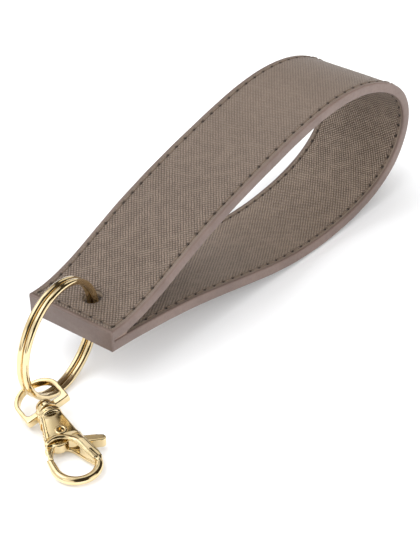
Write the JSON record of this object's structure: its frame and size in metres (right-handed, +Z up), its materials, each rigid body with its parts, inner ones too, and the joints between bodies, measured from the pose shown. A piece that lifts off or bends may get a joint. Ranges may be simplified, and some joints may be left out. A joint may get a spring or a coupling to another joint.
{
  "type": "wristlet keychain",
  "caption": "Stitched leather wrist loop closed at a punched end that holds a split ring, with a swivel clasp whose sprung gate opens the hook.",
  "frame": {"origin": "centre of the bounding box on the surface that the keychain lies on", "axes": "+X along the strap from the ring to the bend, +Y across the strap away from the clasp, +Z up"},
  "size_m": [0.157, 0.0467, 0.0417],
  "materials": {
    "outer_leather": "crosshatch embossed, low sheen",
    "inner_leather": "crosshatch embossed, low sheen",
    "core_board": "pressed fibre board",
    "glue": "dried contact glue",
    "edge_paint": "smooth satin edge paint",
    "thread": "twisted waxed thread",
    "ring_wire": "polished pale gold plating",
    "cast_gold": "polished pale gold plating on a casting",
    "spring_steel": "drawn wire"
  },
  "bodies": {
    "strap": {"outer_leather": "outer_leather", "strap_core": "core_board", "inner_leather": "inner_leather", "end_glue": "glue", "near_edge_paint": "edge_paint", "far_edge_paint": "edge_paint", "end_edge_paint": "edge_paint", "needle_thread_near": "thread", "needle_thread_far": "thread", "bobbin_thread_near": "thread", "bobbin_thread_far": "thread", "end_needle_thread": "thread", "end_bobbin_thread": "thread"},
    "ring": {"split_ring": "ring_wire"},
    "eye": {"swivel_eye": "cast_gold"},
    "hook": {"hook_body": "cast_gold", "swivel_stud": "cast_gold", "lever_spring": "spring_steel", "lever_rivet": "cast_gold"},
    "gate": {"gate_lever": "cast_gold"}
  },
  "joints": [
    {"name": "ring_turn", "type": "hinge", "parent": "strap", "child": "ring", "pos_m": [-0.03676, 0.00936, 0.0155], "axis": [0, 0, 1], "range_deg": [-60, 60]},
    {"name": "eye_swing", "type": "hinge", "parent": "ring", "child": "eye", "pos_m": [-0.06134, 0.00597, 0.00441], "axis": [0.7434, 0.1593, -0.6496], "range_deg": [-60, 150]},
    {"name": "hook_swivel", "type": "hinge", "parent": "eye", "child": "hook", "pos_m": [-0.0652, -0.00244, 0.0035], "axis": [0.4282, 0.8976, 0.1045], "continuous": true},
    {"name": "gate_open", "type": "hinge", "parent": "hook", "child": "gate", "pos_m": [-0.06792, -0.00814, 0.00284], "axis": [-0.045, -0.0943, 0.9945], "range_deg": [0, 27], "stiffness_Nm_per_rad": 0.02, "springref_deg": -34.38}
  ]
}
